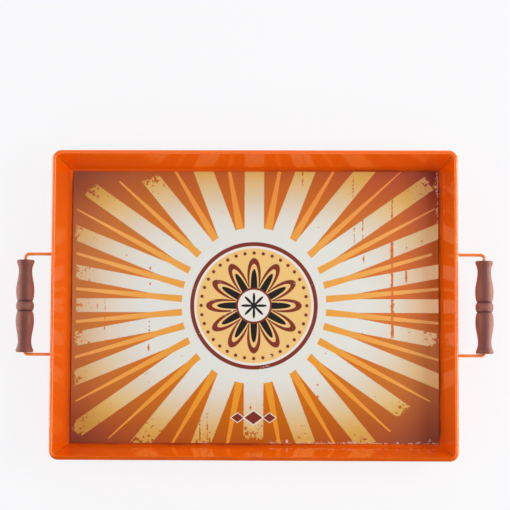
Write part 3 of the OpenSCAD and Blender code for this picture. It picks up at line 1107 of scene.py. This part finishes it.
# Painted light: both sides of the grip are paler, the outer one most.
outer_side_lit = below(-outward + stain * SIDE_RAGGED, -SIDE, SIDE_BLUR)
inner_side_lit = below(outward + stain * SIDE_RAGGED, -SIDE, SIDE_BLUR)
wood_colour = mix(stain, STAIN_DEEP, STAIN_WARM)
wood_colour = mix(outer_side_lit, wood_colour, OUTER_SIDE_LIT)
wood_colour = mix(inner_side_lit, wood_colour, INNER_SIDE_LIT)
# Painted highlight on the bead's crown.
wood_colour = mix(below(along, CROWN, CROWN_BLUR) * CROWN_PALE, wood_colour, CROWN_HIGHLIGHT)
wood_colour = mix(below(grain, GRAIN_LIMIT, GRAIN_BLUR) * GRAIN_SHARE, wood_colour, GRAIN_DARK)
# Painted shade in the grooves beside the bead.
groove_shade = below(abs(along - GROOVE_AT), GROOVE_HALF, GROOVE_BLUR) * GROOVE_SHARE
feed(shader.inputs["Base Color"], mix(groove_shade, wood_colour, GROOVE_SHADE))
feed(shader.inputs["Roughness"], pores * WOOD_SPAN + WOOD_SATIN)
add_bump(shader, pores * PORE_SHARE + grain * (1 - PORE_SHARE), PORE_DEPTH, PORE_STRENGTH)

# %% [markdown]
# The outline is spun about the wire, and its last ring is joined to its first, so the bore is open
# from end to end and the wire runs through it. Filling the ends instead would be simpler, but they
# show where the wire comes out.

# %% Grips
LATHE_SIDES = 72
GRIP_CREASE_DEG = 50

grip_points = len(lathe) * LATHE_SIDES
grip_faces = strips(len(lathe) + 1, LATHE_SIDES)
grip_faces = [tuple(corner % grip_points for corner in face) for face in grip_faces]
for end, sign in ENDS:
    points = []
    for radius, at in lathe:
        for i in range(LATHE_SIDES):
            turn = polar(360 * i / LATHE_SIDES) * radius
            points.append((sign * grip_x + turn.x, grip_y + at, hinge_z + turn.y))
    grip = make_piece("turned_grip_" + end, points, grip_faces, [wood], "grip_" + end,
                      "grip_" + end)
    smooth(grip, GRIP_CREASE_DEG)

# %% [markdown]
# ## Lugs
# A lug is a strip of sheet that is welded to the end wall and rolled round the wire's pin. It could be
# a plane with Solidify and a Simple Deform bend. Drawing both faces of the strip as arcs is shorter, and
# leaves the roll a little open as on real lugs.

# %% Lugs
LUG_SHEET = 0.8
EYE_GAP = 0.06
ROLL_OPEN = 28.0
ROLL_STEPS = 30
LUG_CREASE_DEG = 40
eye = wire_radius + EYE_GAP + LUG_SHEET / 2
hinge = Vector((hinge_x, hinge_z))
wall_out = Vector((math.cos(flare), -math.sin(flare)))
wall_up = Vector((math.sin(flare), math.cos(flare)))
roll_start = 180 - WALL_FLARE
plate_length = (hinge.y + eye * wall_up.y - lug_low.z) / wall_up.y - eye


def strip_outline():
    """Both faces of the strip, from the plate's foot up and round the roll."""
    sides = []
    for radius in (eye + LUG_SHEET / 2, eye - LUG_SHEET / 2):
        foot = hinge - wall_out * radius - wall_up * plate_length
        sides.append([foot] + arc(hinge, radius, roll_start, roll_start - 360 + ROLL_OPEN, ROLL_STEPS))
    return sides[0] + list(reversed(sides[1]))


lug_section = strip_outline()
count = len(lug_section)
lug_faces = strips(2, count)
for start in (0, count):
    far_side = start + count - 1
    lug_faces += [(start + k, start + k + 1, far_side - 1 - k, far_side - k) for k in range(count // 2 - 1)]
for end, sign in ENDS:
    for row, side in (("rear", 1), ("front", -1)):
        edges = (side * lug_low.y, side * lug_high.y)
        points = [(sign * point.x, edge, point.y) for edge in edges for point in lug_section]
        lug = make_piece(row + "_lug_" + end, points, lug_faces, [lacquer], "tray",
                         "lug_" + end + "_" + row)
        smooth(lug, LUG_CREASE_DEG)

# %% [markdown]
# ## Adhesive film
# The film bonds the panel to the floor of the pan. It lies out of sight, so a mesh of its own would
# add nothing: the exact solid stays as it is and only gets its pale, slightly cloudy finish.

# %% Adhesive film
FILM_DULL, FILM_PALE = srgb(222, 212, 186), srgb(240, 234, 214)
FILM_PATCH, FILM_DETAIL = 8.0, 3.0

film, shader, place = start_finish("adhesive_film", roughness=0.35)
feed(shader.inputs["Base Color"], mix(noise(place, FILM_PATCH, FILM_DETAIL), FILM_DULL, FILM_PALE))
film_node = frame["nodes"]["panel_adhesive"]
film_node.data.materials.clear()
film_node.data.materials.append(film)
print("film on", film_node.name)

# %% [markdown]
# ## Floor
# The floor is pale and keeps a faint shadow. More light would turn it white, but would bleach the tray
# too. So to the camera and in reflections it is mostly its own even light, and the rest is matte: that
# rest is where the shadow falls.

# %% Floor
FLOOR_SIZE = 12.0
FLOOR_DROP = 0.0006
FLOOR_SHADOW = 0.15
FLOOR_MATTE = (0.86, 0.86, 0.87, 1.0)
FLOOR_GLOW = (0.965, 0.965, 0.98, 1.0)
SEEN_BY = ("Is Camera Ray", "Is Glossy Ray", "Is Transmission Ray")

floor_mesh = bpy.data.meshes.new("floor")
floor_points = [(sx * FLOOR_SIZE / 2, sy * FLOOR_SIZE / 2, -FLOOR_DROP) for sx, sy in CORNERS]
floor_mesh.from_pydata(floor_points, [], [(0, 1, 2, 3)])
floor = bpy.data.objects.new("floor", floor_mesh)
scene.collection.objects.link(floor)

floor_finish = bpy.data.materials.new("floor_finish")
floor_finish.use_nodes = True
tree = floor_finish.node_tree
tree.nodes.remove(tree.nodes["Principled BSDF"])
light_path = add_node(tree, "LightPath")
seen = any_of([Field(light_path.outputs[kind]) for kind in SEEN_BY])
matte = add_node(tree, "BsdfDiffuse", {"Color": FLOOR_MATTE})
glow = add_node(tree, "Emission", {"Color": FLOOR_GLOW, "Strength": 1.0})
shares = add_node(tree, "MixShader", {0: seen * (1 - FLOOR_SHADOW)})
tree.links.new(matte.outputs[0], shares.inputs[1])
tree.links.new(glow.outputs[0], shares.inputs[2])
tree.links.new(shares.outputs[0], tree.nodes["Material Output"].inputs["Surface"])
floor_mesh.materials.append(floor_finish)
print("floor", FLOOR_SIZE, "m across")

# %% [markdown]
# ## Sky and lamps
# The sky is bright near the horizon and dimmer overhead, which gives round things a light edge. An even
# grey would be simpler, and flatter.

# %% Sky
SKY_SIDE = 0.95
SKY_TOP = 0.37

sky = bpy.data.worlds.new("sky")
sky.use_nodes = True
scene.world = sky
tree = sky.node_tree
direction = Field(add_node(tree, "TexCoord").outputs["Generated"])
upward = axes(direction)[2] | 0.0
seen = Field(add_node(tree, "LightPath").outputs["Is Camera Ray"])
level = upward * (SKY_TOP - SKY_SIDE) + SKY_SIDE
background = tree.nodes["Background"]
background.inputs["Color"].default_value = (1.0, 1.0, 1.0, 1.0)
feed(background.inputs["Strength"], level | seen * SKY_SIDE)
print("sky from", SKY_SIDE, "at the side to", SKY_TOP, "overhead")

# %% [markdown]
# One lamp would leave hard shadows inside the tray. Large soft lamps stand round it instead, the right
# one strongest. Two narrow lamps just above the floor light the grips: they are so low that the tray's
# own walls keep their light off the print.

# %% Lamps
AIM = Vector((0, 0, 0.04))
LAMPS = {
    "lamp_right": ((1.1, 0.1, 1.1), (0.9, 0.5), 10.0),
    "lamp_left": ((-1.1, 0.1, 1.1), (0.9, 0.5), 3.6),
    "lamp_rear": ((0.0, 1.3, 1.1), (1.1, 0.3), 1.5),
    "lamp_front": ((0.0, -1.3, 1.1), (1.1, 0.3), 1.7),
    "lamp_low_right": ((1.1, 0.0, 0.03), (0.7, 0.03), 4.8),
    "lamp_low_left": ((-1.1, 0.0, 0.03), (0.7, 0.03), 2.6),
}

for name, (stand, (long_side, short_side), power) in LAMPS.items():
    lamp = bpy.data.objects.new(name, bpy.data.lights.new(name, "AREA"))
    lamp.data.shape = "RECTANGLE"
    lamp.data.size, lamp.data.size_y = long_side, short_side
    lamp.data.energy = power
    lamp.location = stand
    lamp.rotation_euler = (AIM - Vector(stand)).to_track_quat("-Z", "Y").to_euler()
    scene.collection.objects.link(lamp)
    print(name, power, "W at", stand)
